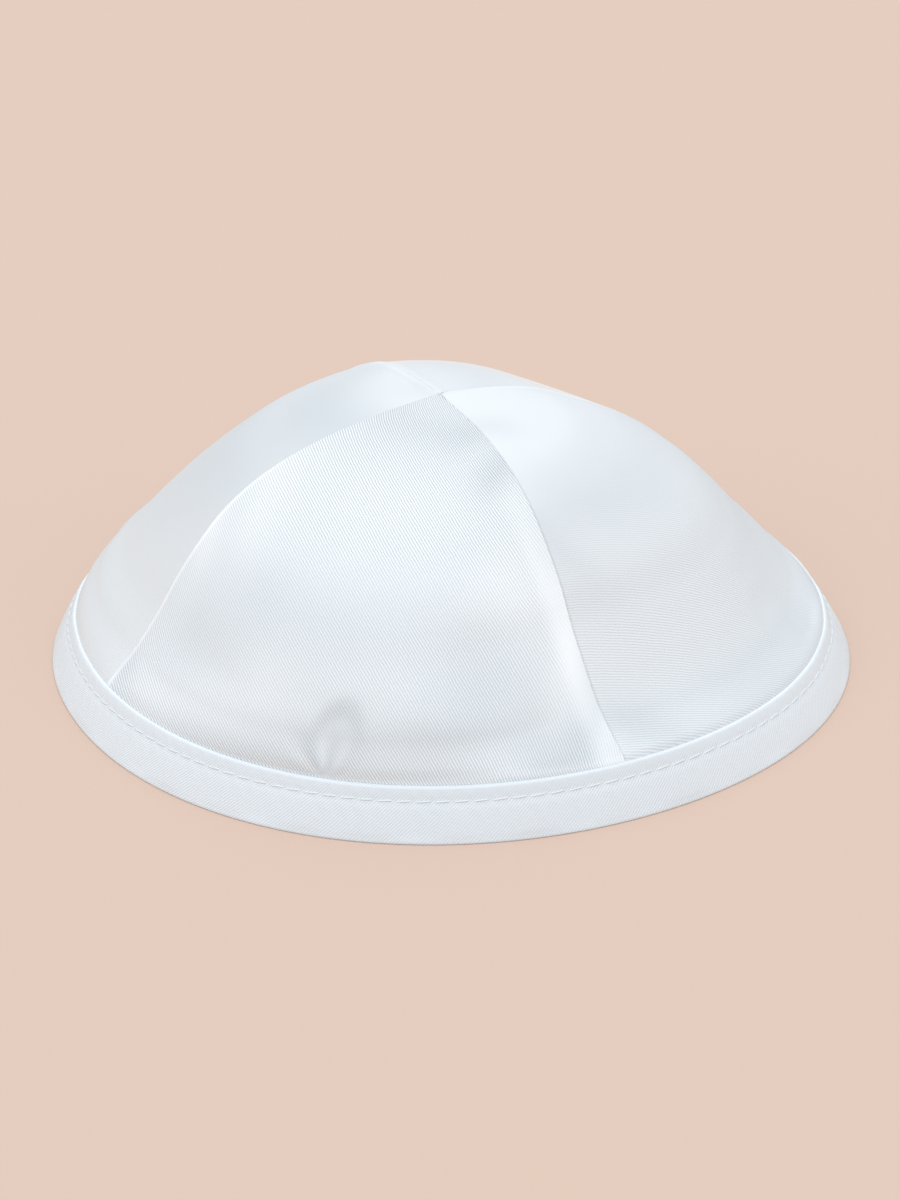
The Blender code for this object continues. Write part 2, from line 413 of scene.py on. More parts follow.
@dataclass(frozen=True)
class Plan:
    """The rim seen from above: a slightly oval ring that each panel pushes outwards."""

    radius: float = 85.0 * MM
    oval: float = 1.6 * MM
    oval_turn: float = radians(-25.0)
    lobe: float = 2.1 * MM
    steps: int = 88

    @staticmethod
    def span(gore: Gore) -> tuple[float, float]:
        """The gore's middle azimuth and half of the angle between its seams."""
        first, last = (SEAM_AZIMUTHS[seam] for seam in gore.seams)
        half = ((last - first) % TURN) / 2
        return first + half, half

    def radius_at(self, azimuth: Array) -> Array:
        """Radius of the rim: the mean, an oval wave of two cycles, and one wave a panel.

        Args:
            azimuth: Azimuths in radians.

        Returns:
            The radii of the line where the binding's outside meets the surface.
        """
        push = np.zeros_like(azimuth)
        for gore in GORES:
            middle, half = self.span(gore)
            off = (azimuth - middle + pi) % TURN - pi
            across = off / half
            wave = gore.lobe * (1 + np.cos(pi * across)) - 1
            push = np.where(np.abs(across) <= 1 + 1e-9, wave, push)
        oval = self.oval * np.cos(2 * (azimuth - self.oval_turn))
        return self.radius + self.lobe * push / 2 + oval


@dataclass(frozen=True)
class Fold:
    """The binding's sizes across the strip, as folded."""

    height: float = 10.0 * MM
    inside_height: float = 9.0 * MM
    lean: float = 5.6 * MM
    leaf: float = 1.0 * MM
    clearance: float = 0.3 * MM
    fold_round: float = 0.8 * MM

    @property
    def lean_angle(self) -> float:
        """How far the outside leans in from upright."""
        return atan2(self.lean, self.height)

    def level(self, thickness: float) -> float:
        """The level width that a thickness square to the leaning strip takes up."""
        return thickness / cos(self.lean_angle)


@dataclass(frozen=True)
class Crown:
    """The whole cap's form, which the panels and the binding are cut from."""

    plan: Plan = Plan()
    fold: Fold = Fold()
    height: float = 59.2 * MM
    peak_back: float = 0.5 * MM
    wall: float = 1.2 * MM
    seam_gap: float = 0.015 * MM

    def middle(self) -> tuple[float, float]:
        """Middle of the box round the rim, which is the frame's origin in plan."""
        turns = np.arange(self.plan.steps) * TURN / self.plan.steps
        rounded_off = self.fold.lean * self.fold.fold_round / self.fold.height
        widest = self.plan.radius_at(turns) - rounded_off
        across, along = widest * np.cos(turns), widest * np.sin(turns)
        return (across.min() + across.max()) / 2, (along.min() + along.max()) / 2

    def panel_foot(self, azimuth: Array, height: Array) -> Array:
        """Radius of a panel's outside inside the binding: the rim's, less lean and leaf."""
        lean = self.fold.lean * height / self.fold.height
        leaf = self.fold.level(self.fold.leaf + self.fold.clearance)
        return self.plan.radius_at(azimuth) - lean - leaf

    def section(self, gore: Gore, across: Array, row: Array) -> tuple[Array, Array, Array]:
        """The crown's outside between two seams.

        At each level the radius is a share of the foot's. Between the seams the share runs
        evenly from one seam's to the other's, plus the middle's excess over their mean times
        one minus the gap weight (sec(angle) - 1) / (sec(half) - 1), so a middle share of
        cos(half) would be a flat chord.

        Args:
            gore: The panel.
            across: Places between the seams, from -1 to 1.
            row: Fractional rows of LEVELS.

        Returns:
            Radius, azimuth and height of each place.
        """
        middle, half = self.plan.span(gore)
        def column(name: str) -> Array:
            return smooth_read(np.array([getattr(level, name) for level in LEVELS]), row)
        first, last = (column(seam) for seam in gore.seams)
        centre = column(gore.middle)
        weight = (1 / np.cos(half * across) - 1) / (1 / cos(half) - 1)
        between = first + (last - first) * (1 + across) / 2
        share = between + (centre - (first + last) / 2) * (1 - weight)
        azimuth = middle + half * across
        foot = self.panel_foot(azimuth, np.full_like(azimuth, self.fold.height))
        height = self.fold.height + (self.height - self.fold.height) * column("up")
        return foot * share, azimuth, height


def cells(number: Array) -> Array:
    """The corners of each cell of a grid of point numbers, one row a cell."""
    low, high = number[..., :-1, :], number[..., 1:, :]
    corners = [low[..., :-1], high[..., :-1], high[..., 1:], low[..., 1:]]
    return np.stack(corners, axis=-1).reshape(-1, 4)


def closed_mesh(
    name: str, outer: Array, inner: Array, cloth: Array, marks: Marks
) -> bpy.types.Mesh:
    """Join two grids of the same size into one closed wall.

    The outer grid faces out, the inner one faces in, and strips close their four edges.

    Args:
        name: The mesh's name.
        outer: Points of the outside, rows by columns by three.
        inner: Points of the inside, in the same order.
        cloth: Cloth coordinates of both, rows by columns by two.
        marks: Named shares on the outside, rows by columns each: painted light and the weave's
            plainness.

    Returns:
        The mesh, with its doubles merged and its cloth coordinates as a UV map.
    """
    rows, columns = outer.shape[:2]
    front = np.arange(rows * columns).reshape(rows, columns)
    back = front + rows * columns
    def quads(a: Array, b: Array, c: Array, d: Array) -> Array:
        return np.stack([a.ravel(), b.ravel(), c.ravel(), d.ravel()], axis=1)
    faces = [
        quads(front[:-1, :-1], front[:-1, 1:], front[1:, 1:], front[1:, :-1]),
        cells(back),
        quads(front[0, 1:], front[0, :-1], back[0, :-1], back[0, 1:]),
        quads(front[:-1, 0], front[1:, 0], back[1:, 0], back[:-1, 0]),
        quads(front[1:, -1], front[:-1, -1], back[:-1, -1], back[1:, -1]),
        quads(front[-1, :-1], front[-1, 1:], back[-1, 1:], back[-1, :-1]),
    ]
    points, both = np.stack([outer, inner]), np.stack([cloth, cloth])
    marked = {key: np.stack([value, 0 * value]) for key, value in marks.items()}
    return merged_mesh(name, points, np.concatenate(faces), both, marked)


def merged_mesh(
    name: str, points: Array, faces: Array, cloth: Array, marks: Marks, near: float = 0.001 * MM
) -> bpy.types.Mesh:
    """Make a mesh from arrays, give it cloth coordinates and merge its doubled points.

    Args:
        name: The mesh's name.
        points: Grids of points, three numbers each.
        faces: One row a face, four point numbers each.
        cloth: Cloth coordinates of the points, two numbers each.
        marks: Named shares on each point: painted light and the weave's plainness.
        near: Points closer than this are merged.

    Returns:
        A smooth-shaded mesh.
    """
    mesh = bpy.data.meshes.new(name)
    mesh.from_pydata(points.reshape(-1, 3).tolist(), [], faces.tolist())
    layer = mesh.uv_layers.new(name="cloth")
    corner = np.empty(len(mesh.loops), dtype=np.int32)
    mesh.loops.foreach_get("vertex_index", corner)
    layer.data.foreach_set("uv", cloth.reshape(-1, 2)[corner].astype(np.float32).ravel())
    for key, value in marks.items():
        data = mesh.attributes.new(key, "FLOAT", "POINT").data
        data.foreach_set("value", value.astype(np.float32).ravel())
    body = bmesh.new()
    body.from_mesh(mesh)
    bmesh.ops.remove_doubles(body, verts=body.verts, dist=near)
    bmesh.ops.dissolve_degenerate(body, dist=near / 2, edges=body.edges)
    body.to_mesh(mesh)
    body.free()
    mesh.shade_smooth()
    return mesh


def add_object(name: str, data: bpy.types.ID) -> bpy.types.Object:
    """Put an object with this data in the scene."""
    added = bpy.data.objects.new(name, data)
    bpy.context.scene.collection.objects.link(added)
    return added


def make_piece(mesh: bpy.types.Mesh, material: bpy.types.Material) -> bpy.types.Object:
    """Put a mesh in the scene at the origin, dressed and riding on the cap's one body.

    Args:
        mesh: The finished mesh, in the frame's place.
        material: Its finish.

    Returns:
        The new object.
    """
    mesh.materials.append(material)
    piece = add_object(mesh.name, mesh)
    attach(piece, BODY)
    log.info("%s: %d points, %d faces", piece.name, len(mesh.vertices), len(mesh.polygons))
    return piece


@dataclass(frozen=True)
class Expr:
    """A shader value: arithmetic on it adds Math nodes to its graph."""

    graph: "Graph"
    socket: bpy.types.NodeSocket

    def math(self, operation: str, *others: "Expr | float") -> "Expr":
        """One Math node on this value and the others, in that order."""
        sockets = dict(enumerate((self, *others)))
        return self.graph.node("ShaderNodeMath", {"operation": operation}, sockets)["Value"]

    def __add__(self, other: "Expr | float") -> "Expr":
        """self + other."""
        return self.math("ADD", other)

    __radd__ = __add__

    def __mul__(self, other: "Expr | float") -> "Expr":
        """self * other."""
        return self.math("MULTIPLY", other)

    __rmul__ = __mul__

    def __sub__(self, other: "Expr | float") -> "Expr":
        """self - other."""
        return self.math("SUBTRACT", other)

    def __rsub__(self, other: float) -> "Expr":
        """other - self."""
        return (self * -1.0).math("ADD", other)

    def wave(self) -> "Expr":
        """A wave from 0 to 1 that repeats each time this value grows by 1."""
        return (self * TURN).math("COSINE") * 0.5 + 0.5


@dataclass(frozen=True)
class NodeOutputs:
    """A node's outputs, read by name as shader values."""

    graph: "Graph"
    node: bpy.types.Node

    def __getitem__(self, name: str | int) -> Expr:
        """The output of that name or number."""
        return Expr(self.graph, self.node.outputs[name])


@dataclass(frozen=True)
class Graph:
    """One material's node tree."""

    tree: bpy.types.NodeTree

    @classmethod
    def begin(cls, name: str) -> tuple[bpy.types.Material, "Graph"]:
        """A new material of that name, and its graph, still empty."""
        material = bpy.data.materials.new(name)
        material.use_nodes = True
        material.node_tree.nodes.clear()
        return material, cls(material.node_tree)

    def node(
        self, kind: str, settings: dict | None = None, sockets: dict | None = None
    ) -> NodeOutputs:
        """Add a node, set it, then fill or link its sockets.

        Args:
            kind: The node's type.
            settings: Its settings, by name.
            sockets: Values or shader values, by the socket's name or number.

        Returns:
            The node's outputs.
        """
        node = self.tree.nodes.new(kind)
        for name, value in (settings or {}).items():
            setattr(node, name, value)
        for name, value in (sockets or {}).items():
            if isinstance(value, Expr):
                self.tree.links.new(value.socket, node.inputs[name])
            else:
                node.inputs[name].default_value = value
        return NodeOutputs(self, node)

    def noise(self, place: Expr, scale: float, detail: float = 2.0) -> Expr:
        """Noise from 0 to 1, with scale waves to a metre of place."""
        sockets = {"Vector": place, "Scale": scale, "Detail": detail}
        return self.node("ShaderNodeTexNoise", sockets=sockets)["Fac"]

    def mark(self, name: str) -> Expr:
        """A mark of the mesh's points."""
        return self.node("ShaderNodeAttribute", {"attribute_name": name})["Fac"]

    def bump(self, height: Expr, distance: float, strength: float = 1.0) -> Expr:
        """The normal over a height that rises by distance from 0 to 1."""
        sockets = {"Strength": strength, "Distance": distance, "Height": height}
        return self.node("ShaderNodeBump", sockets=sockets)["Normal"]

    def surface(self, sockets: dict) -> None:
        """End the graph in one shader with these sockets."""
        shader = self.node("ShaderNodeBsdfPrincipled", sockets=sockets)["BSDF"]
        self.node("ShaderNodeOutputMaterial", sockets={"Surface": shader})


@dataclass(frozen=True)
class Satin:
    """White satin: slanting lines of floats with a sheen drawn out across the threads.

    pitch is the distance between two lines, float_length that between two breaks along a line,
    slant the lines' angle on the cloth, shade the mean share of the dark colour, line_depth how
    much that share falls from between the lines to their tops, break_depth how far a break
    wears a line down, mean_height the weave's average, fuzz the height of its loose fibres, and
    stray and wobble how far, in pitches, the lines wander slowly and quickly.
    """

    name: str
    light: tuple[float, float, float] = (0.748, 0.767, 0.775)
    dark: tuple[float, float, float] = (0.42, 0.453, 0.485)
    roughness: float = 0.50
    anisotropy: float = 1.0
    specular: float = 1.0
    index: float = 1.85
    sheen: float = 0.05
    pitch: float = 0.55 * MM
    float_length: float = 0.95 * MM
    slant: float = radians(-50.0)
    shade: float = 0.18
    line_depth: float = 0.45
    break_depth: float = 0.12
    mean_height: float = 0.56
    fuzz: float = 0.4
    stray: float = 0.8
    wobble: float = 0.5
    bump: float = 0.04 * MM

    def material(self) -> bpy.types.Material:
        """Build the finish.

        The cloth's height is a wave square to the slant, worn by a second wave along it that
        steps on from line to line. The height darkens the colour between the lines and feeds
        the bump; a slow noise makes the sheen a little uneven.

        Returns:
            The material.
        """
        material, graph = Graph.begin(self.name)
        cloth = graph.node("ShaderNodeUVMap", {"uv_map": "cloth"})["UV"]
        place = graph.node("ShaderNodeSeparateXYZ", sockets={0: cloth})
        x, y = place["X"], place["Y"]
        slow = graph.noise(cloth, 60.0)
        quick = graph.noise(cloth, 600.0, 1.0)
        fibres = graph.noise(cloth, 2500.0)
        square = (x * (-sin(self.slant)) + y * cos(self.slant)) * (1 / self.pitch)
        square = square + slow * self.stray + quick * self.wobble
        along = (x * cos(self.slant) + y * sin(self.slant)) * (1 / self.float_length)
        lines = square.wave().math("POWER", 0.6)
        breaks = (along + square * 0.37).wave()
        floats = lines * (breaks * self.break_depth + (1 - self.break_depth))
        height = floats + (fibres - 0.5) * self.fuzz - self.mean_height
        height = height * (1 - graph.mark("plain"))
        # Painted light: this mark lightens the colour where highlights and sheen are painted and
        # darkens it where shade is painted.
        share = self.shade - height * self.line_depth - graph.mark("painted_light")
        colour = graph.node(
            "ShaderNodeMix",
            {"data_type": "RGBA", "clamp_factor": False},
            {"Factor": share, 6: (*self.light, 1.0), 7: (*self.dark, 1.0)},
        )[2]
        graph.surface(
            {
                "Base Color": colour,
                "Roughness": slow * 0.08 + (self.roughness - 0.04),
                "Normal": graph.bump(height, self.bump),
                "Anisotropic": self.anisotropy,
                "Specular IOR Level": self.specular,
                "IOR": self.index,
                "Sheen Weight": self.sheen,
                "Sheen Roughness": 0.4,
            }
        )
        return material


@dataclass(frozen=True)
class ClothGrid:
    """Where the points of one gore's grid lie, rows by columns.

    half is half of the angle between the gore's seams. across runs from -1 to 1 between them
    and row counts the LEVELS. radius is measured from the cap's axis, height from the surface
    below the cap, and rise up the cloth from the binding's top.
    """

    gore: Gore
    half: float
    across: Array
    row: Array
    radius: Array
    height: Array
    rise: Array

    def away(self, edge: float) -> Array:
        """Distance of each point from the seam at that end of across."""
        return self.radius * np.sin(self.half * np.abs(edge - self.across))

    def spot(self, patch: Patch, turn: float = 0.0) -> Array:
        """A patch as a bell along the cloth, sideways and upwards, leaning clockwise by turn."""
        row, middle = self.row[:, 0], self.across.shape[1] // 2
        at_row = np.interp(patch.up, [level.up for level in LEVELS], np.arange(len(LEVELS)))
        middle_radius = np.interp(at_row, row, self.radius[:, middle])
        off_side = (self.across * self.radius - patch.across * middle_radius) * self.half
        off_rise = self.rise - np.interp(at_row, row, self.rise[:, 0])
        turned = off_side * cos(turn) - off_rise * sin(turn)
        raised = off_side * sin(turn) + off_rise * cos(turn)
        return bell(turned, patch.wide * MM) * bell(raised, patch.tall * MM)

    def dart(self) -> tuple[Array, Array]:
        """The gore's dart, by the distances sideways and up from its pinch.

        The dent's outline is half an oval above its middle, and narrows down to the pinch. The
        creases are a wave of the angle round the pinch, clearest 5 mm away from it and a little
        to the left.

        Returns:
            How far out each place lies from the dent's middle line, with 1 on its outline, and
            the height of the creases.
        """
        dart = self.gore.dart
        off = (self.across - dart.across) * self.half * self.radius
        wide = dart.width * (0.5 + 0.5 * ease(self.rise / dart.rise))
        above = np.maximum(self.rise - dart.rise, 0.0) / dart.rise
        reach = np.hypot((off - dart.lean * self.rise) / wide, above)
        angle = np.arctan2(off, self.rise + 1.0 * MM)
        fan = np.sin(angle * dart.creases + 0.4) * bell(angle + 0.3, 0.9)
        return reach, fan * bell(np.hypot(off, self.rise) - 5 * MM, 6 * MM)


@dataclass
class CrownPanels:
    """The four satin gores that make the dome.

    press is how far the foot leans out against the binding, fading over press_fade. The slow
    ripples are ripple high. They and the other forms are calmed within peak_calm of the peak,
    seam_calm of a seam and foot_calm of the binding. Beside a seam the highlight or seam-line
    shade painted into the colour grows over painted_shine_fade, with painted_shine_gain of the
    gore's shade, and loses painted_shine_plain of the weave. The smooth top starts at top_radius
    and is whole top_fade further in.
    """

    crown: Crown
    satin: Satin
    columns: int = 200
    crown_rows: int = 136
    foot_rows: int = 8
    edge_crowding: float = 0.4
    press: float = 0.86 * MM
    press_fade: float = 8 * MM
    pucker_pitch: float = 2.8 * MM
    pucker_reach: float = 2.2 * MM
    ripple: float = 0.10 * MM
    ripple_across: float = 9 * MM
    ripple_up: float = 11 * MM
    peak_calm: float = 12 * MM
    seam_calm: float = 3 * MM
    foot_calm: float = 2.5 * MM
    painted_shine_fade: float = 25 * MM
    painted_shine_gain: float = 1.3
    painted_shine_plain: float = 0.8
    top_radius: float = 64 * MM
    top_fade: float = 26 * MM

    def grid(self, gore: Gore) -> ClothGrid:
        """Lay out one gore's grid; columns crowd towards the seams.

        Across is s (1 + c) - c s cubed for s from -1 to 1, with c the edge crowding. Rows run
        from -1 at the foot inside the binding to 0 at the binding's top, and on by LEVELS.

        Args:
            gore: The panel.

        Returns:
            The grid of its plain outside, foot rows included.
        """
        side = np.linspace(-1.0, 1.0, self.columns + 1)
        spread = side * (1 + self.edge_crowding) - self.edge_crowding * side**3
        foot = np.linspace(-1.0, 0.0, self.foot_rows, endpoint=False)
        above = np.linspace(0.0, len(LEVELS) - 1.0, self.crown_rows + 1)
        across, row = np.meshgrid(spread, np.concatenate([foot, above]))
        radius, azimuth, height = self.crown.section(gore, across, np.maximum(row, 0.0))
        fold = self.crown.fold
        floor = fold.leaf + fold.clearance + self.crown.wall * sin(fold.lean_angle)
        low = floor + (fold.height - floor) * (1 + row)
        radius = np.where(row < 0, self.crown.panel_foot(azimuth, low), radius)
        height = np.where(row < 0, low, height)
        middle = self.columns // 2
        steps = np.hypot(np.diff(radius[:, middle]), np.diff(height[:, middle]))
        rise = np.concatenate([[0.0], np.cumsum(steps)])
        rise = (rise - rise[self.foot_rows])[:, None] * np.ones_like(across)
        return ClothGrid(gore, Plan.span(gore)[1], across, row, radius, height, rise)

    def relief(self, grid: ClothGrid) -> Array:
        """How far the cloth stands out from the plain crown.

        The sum of soft bells for the swells, the dart's dent and creases, and slow ripples.
        Each seam calms it and adds its own lift, puckers and rolled edge. The foot's press
        comes last.

        Args:
            grid: The gore's grid.

        Returns:
            Heights square to the surface, outwards.
        """
        gore, dart = grid.gore, grid.gore.dart
        side = grid.across * grid.half * grid.radius
        total = np.zeros_like(side)
        for swell in gore.swells:
            total += swell.lift * MM * grid.spot(swell, swell.turn)
        reach, fan = grid.dart()
        dent = ease((1.4 - reach) / 0.8) * ease(grid.rise / (1.7 * dart.rise))
        total += dart.crease * fan - dart.depth * dent
        ripples = np.sin(side / self.ripple_across + gore.drift)
        total += self.ripple * ripples * np.sin(grid.rise / self.ripple_up + 2 * gore.drift)
        total *= ease(grid.radius / self.peak_calm)
        for edge, seam in gore.sides():
            away = grid.away(edge)
            total *= 1 - seam.settle * bell(away, self.seam_calm)
            total += self.seam_relief(seam, away, grid.rise)
        total *= ease(grid.rise / self.foot_calm)
        press = self.press * ease(1 - grid.rise / self.press_fade)
        return np.where(grid.row < 0, 0.0, total) + press

    def seam_relief(self, seam: SeamSide, away: Array, rise: Array) -> Array:
        """The cloth near one seam, by the distance away from it and up it.

        The lift over the allowance, puckers as a wave along the seam, and the rolled edge: a
        quarter circle that drops into the seam.
        """
        lift = seam.lift * ease((seam.lift_width * 1.3 - away) / (seam.lift_width * 0.7))
        pulls = 0.5 + 0.5 * np.cos(TURN * rise / self.pucker_pitch)
        pucker = -seam.pucker * pulls * np.exp(-away / self.pucker_reach)
        bend = np.clip(1 - away / seam.roll_width, 0.0, 1.0)
        return lift + pucker - (seam.lift + seam.sink) * (1 - np.sqrt(1 - bend**2))

    def marks(self, grid: ClothGrid) -> Marks:
        """The cloth's marks: painted light, which sums painted highlights and painted shade, and
        plain, where its lines are lost.

        Beside a seam both grow to the seam's painted shine. The cloth is plain on the crown's top
        and in the dart's dent, and shade is painted on the dart's brow, dent and creases.

        Args:
            grid: The gore's grid.

        Returns:
            The marks by name, rows by columns each.
        """
        gore = grid.gore
        strip = np.zeros_like(grid.across)
        # Painted highlight beside a seam, or painted shade along the seam's line where the shine
        # is below 0.
        for edge, seam in gore.sides():
            start = ease((grid.radius - seam.painted_shine_from) / self.painted_shine_fade)
            strip += seam.painted_shine * ease(1.6 - grid.away(edge) / seam.painted_shine_width) * start
        painted_light = strip * gore.shade * self.painted_shine_gain
        plain = strip * self.painted_shine_plain
        # add each patch's painted highlight or painted shade
        for patch in gore.painted_light_patches:
            spot = grid.spot(patch)
            painted_light += patch.gain * spot
            plain += patch.plain * spot
        reach, fan = grid.dart()
        brow = bell(reach - 1.0, 0.4) * ease(grid.rise / (6 * MM))
        inside = ease((1.3 - reach) / 0.6)
        # painted shade on the dart's brow, inside and creases
        painted_light -= gore.dart.shade * (brow + 0.25 * inside + fan)
        top = gore.smooth_top * ease((self.top_radius - grid.radius) / self.top_fade)
        return {"painted_light": painted_light, "plain": np.maximum(plain, np.maximum(top, 0.7 * inside))}

    def build(self, gore: Gore) -> bpy.types.Object:
        """Work out one panel's wall and put it in the scene.

        Args:
            gore: The panel.

        Returns:
            The piece, which replaces the panel's solid.
        """
        grid = self.grid(gore)
        relief = self.relief(grid)
        out_r, out_z = np.gradient(grid.height, axis=0), -np.gradient(grid.radius, axis=0)
        size = np.hypot(out_r, out_z)
        out_r, out_z = out_r / size, out_z / size
        middle, half = Plan.span(gore)
        shift_x, shift_y = self.crown.middle()
        foot = self.crown.fold.height
        up = np.clip((grid.height - foot) / (self.crown.height - foot), 0, 1)
        def points(offset: Array) -> Array:
            r = np.maximum(grid.radius + out_r * offset, 0.0)
            share = self.crown.seam_gap / 2 / np.maximum(r, 1e-9)
            turn = middle + (half - np.arcsin(np.clip(share, 0, sin(half)))) * grid.across
            x = r * np.cos(turn) - shift_x
            y = r * np.sin(turn) + self.crown.peak_back * up - shift_y
            return np.stack([x, y, grid.height + out_z * offset], axis=-1)
        cloth = self.flat_pattern(grid)
        inner = points(np.minimum(relief, 0.0) - self.crown.wall)
        marks = self.marks(grid)
        mesh = closed_mesh(gore.node + "_satin", points(relief), inner, cloth, marks)
        mesh.set_sharp_from_angle(angle=radians(40.0))
        self.aim_threads(mesh, middle)
        name = gore.node + " satin"
        satin = replace(self.satin, name=name, shade=gore.shade, line_depth=gore.line_depth)
        piece = make_piece(mesh, satin.material())
        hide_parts(gore.node)
        return piece

    @staticmethod
    def flat_pattern(grid: ClothGrid) -> Array:
        """Lay the gore out flat, as it was cut, so that its weave keeps one direction.

        Each level becomes an arc round the peak, whose radius is the distance up the cloth to
        the peak and whose length is the level's own.

        Args:
            grid: The gore's grid.

        Returns:
            Flat coordinates, rows by columns by two.
        """
        peak = grid.rise[-1:]
        left = np.maximum(peak - grid.rise, 0.1 * MM)
        arc = grid.across * grid.half * grid.radius / left
        return np.stack([left * np.sin(arc), peak - left * np.cos(arc)], axis=-1)

    @staticmethod
    def aim_threads(mesh: bpy.types.Mesh, middle: float, away: float = 0.6) -> None:
        """Turn the sheen to the panel's own threads, which run straight up its middle.

        The sheen is drawn out round the centre of the mesh's texture space, so that centre is
        put behind the panel, away from its middle.
        """
        mesh.use_auto_texspace = False
        mesh.texspace_location = (-away * cos(middle), -away * sin(middle), 0.0)
        mesh.texspace_size = (1.0, 1.0, 1.0)


@dataclass
class RimBinding:
    """The bias strip folded over the crown's foot, outside and inside.

    hem is the strip above the stitches. drag is the height of the faint lines that the holes
    pull, wander that of the strip's slow waves, and the thread's figures are half its width,
    the rise of a stitch, the depth it dives to and its tilt.
    """

    crown: Crown
    satin: Satin
    steps: int = 792
    section_step: float = 0.35 * MM
    outer_leaf: float = 0.55 * MM
    inner_leaf: float = 1.25 * MM
    edge_round: float = 0.3 * MM
    bottom_round: float = 0.15 * MM
    bulge: float = 0.15 * MM
    wander: float = 0.12 * MM
    drag: float = 0.05 * MM
    hem: float = 1.9 * MM
    stitch_drop: float = 2.6 * MM
    stitch_groove: float = 0.20 * MM
    stitch_count: int = 132
    thread: float = 0.16 * MM
    thread_rise: float = 0.17 * MM
    thread_dive: float = 0.13 * MM
    thread_tilt: float = 0.10 * MM

    @property
    def whole(self) -> float:
        """The folded strip's level width, with the crown's wall in it."""
        fold = self.crown.fold
        return fold.level(2 * fold.leaf + 2 * fold.clearance + self.crown.wall)

    @property
    def line(self) -> float:
        """Height of the stitched line."""
        return self.crown.fold.height - self.stitch_drop

    def corners(self) -> list[tuple[float, float, float]]:
        """The folded section's corners: depth in from the outside, height, and rounding."""
        fold, whole = self.crown.fold, self.whole
        outer, inner = fold.level(self.outer_leaf), fold.level(self.inner_leaf)
        edge, inside = self.edge_round, fold.inside_height
        return [
            (0.0, 0.0, self.bottom_round),
            (0.0, fold.height, edge),
            (outer, fold.height, 0.1 * MM),
            (outer, fold.leaf, 0.1 * MM),
            (whole - inner, fold.leaf, 0.1 * MM),
            (whole - inner, inside, edge),
            (whole, inside, edge),
            (whole, 0.0, self.bottom_round),
        ]

    def section(self) -> tuple[Array, Array]:
        """The section as a closed run of even steps.

        Each corner is a parabola between two points that stand its rounding away on the two
        sides; the run is then read off at equal distances.

        Returns:
            Depths and heights, and each point's distance along the run.
        """
        corners = np.array(self.corners())
        place, rounding = corners[:, :2], corners[:, 2]
        def towards(corner: Array, other: Array, bend: float) -> Array:
            size = np.hypot(*(other - corner))
            return corner + (other - corner) / size * min(bend, size / 2)
        t = np.linspace(0, 1, 9)[:, None]
        run = []
        for i, (corner, bend) in enumerate(zip(place, rounding)):
            start = towards(corner, place[i - 1], bend)
            end = towards(corner, place[(i + 1) % len(place)], bend)
            run.append((1 - t) ** 2 * start + 2 * t * (1 - t) * corner + t**2 * end)
        path = np.concatenate(run + [run[0][:1]])
        length = np.concatenate([[0.0], np.cumsum(np.hypot(*np.diff(path, axis=0).T))])
        count = int(round(length[-1] / self.section_step))
        at = np.linspace(0, length[-1], count, endpoint=False)
        return np.stack([np.interp(at, length, column) for column in path.T], axis=1), at

    def relief(self, azimuth: Array, height: Array) -> Array:
        """The outside's own form: a full bulge, parted by the groove that the stitches pull in.

        The groove is a bell in height, deepest at the needle holes between two stitches, and
        faint drag lines slant away from each hole.
        """
        swell = np.sin(pi * np.clip(height / self.crown.fold.height, 0, 1)) ** 0.7
        phase = azimuth * self.stitch_count
        off = height - self.line
        hole = 0.5 + 0.5 * np.cos(phase)
        groove = self.stitch_groove * (0.55 + 0.45 * hole**2) * bell(off, 0.75 * MM)
        drag = self.drag * np.cos(phase + off / (1.3 * MM)) * bell(off, 2.2 * MM)
        slow = self.wander * np.sin(azimuth * 9 + 1.0) * np.sin(azimuth * 23 + 2.0)
        return self.bulge * swell - groove + drag + slow * ease(height / (2 * MM))

    def surface(self, azimuth: Array, depth: Array, height: Array, lift: Array) -> Array:
        """Carry section points round the rim, standing lift out from the leaning face."""
        fold = self.crown.fold
        radius = self.crown.plan.radius_at(azimuth) - fold.lean * height / fold.height - depth
        radius = radius + lift * cos(fold.lean_angle)
        shift_x, shift_y = self.crown.middle()
        x = radius * np.cos(azimuth) - shift_x
        y = radius * np.sin(azimuth) - shift_y
        return np.stack([x, y, height + lift * sin(fold.lean_angle)], axis=-1)

    def build(self) -> bpy.types.Object:
        """Work out the strip's whole skin and put it in the scene.

        Returns:
            The piece, which replaces the binding's solid.
        """
        section, at = self.section()
        closed = np.concatenate([section, section[:1]])
        azimuth = np.linspace(0, TURN, self.steps + 1)[None, :] * np.ones((len(closed), 1))
        depth = closed[:, :1] * np.ones_like(azimuth)
        height = closed[:, 1:] * np.ones_like(azimuth)
        outside = ease(1 - depth / (0.8 * MM)) * ease(height / (1.5 * MM))
        points = self.surface(azimuth, depth, height, self.relief(azimuth, height) * outside)
        whole = at[-1] + at[1]
        up_length = np.append(at, whole)[:, None] * np.ones_like(azimuth)
        cloth = np.stack([azimuth * self.crown.plan.radius, up_length], axis=-1)
        faces = cells(np.arange(azimuth.size).reshape(azimuth.shape))[:, ::-1]
        marks = self.marks(azimuth, depth, height)
        mesh = merged_mesh("rim_binding_satin", points, faces, cloth, marks)
        piece = make_piece(mesh, self.satin.material())
        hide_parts("rim_binding")
        float(whole / 2)
        TURN * self.crown.plan.radius
        return piece

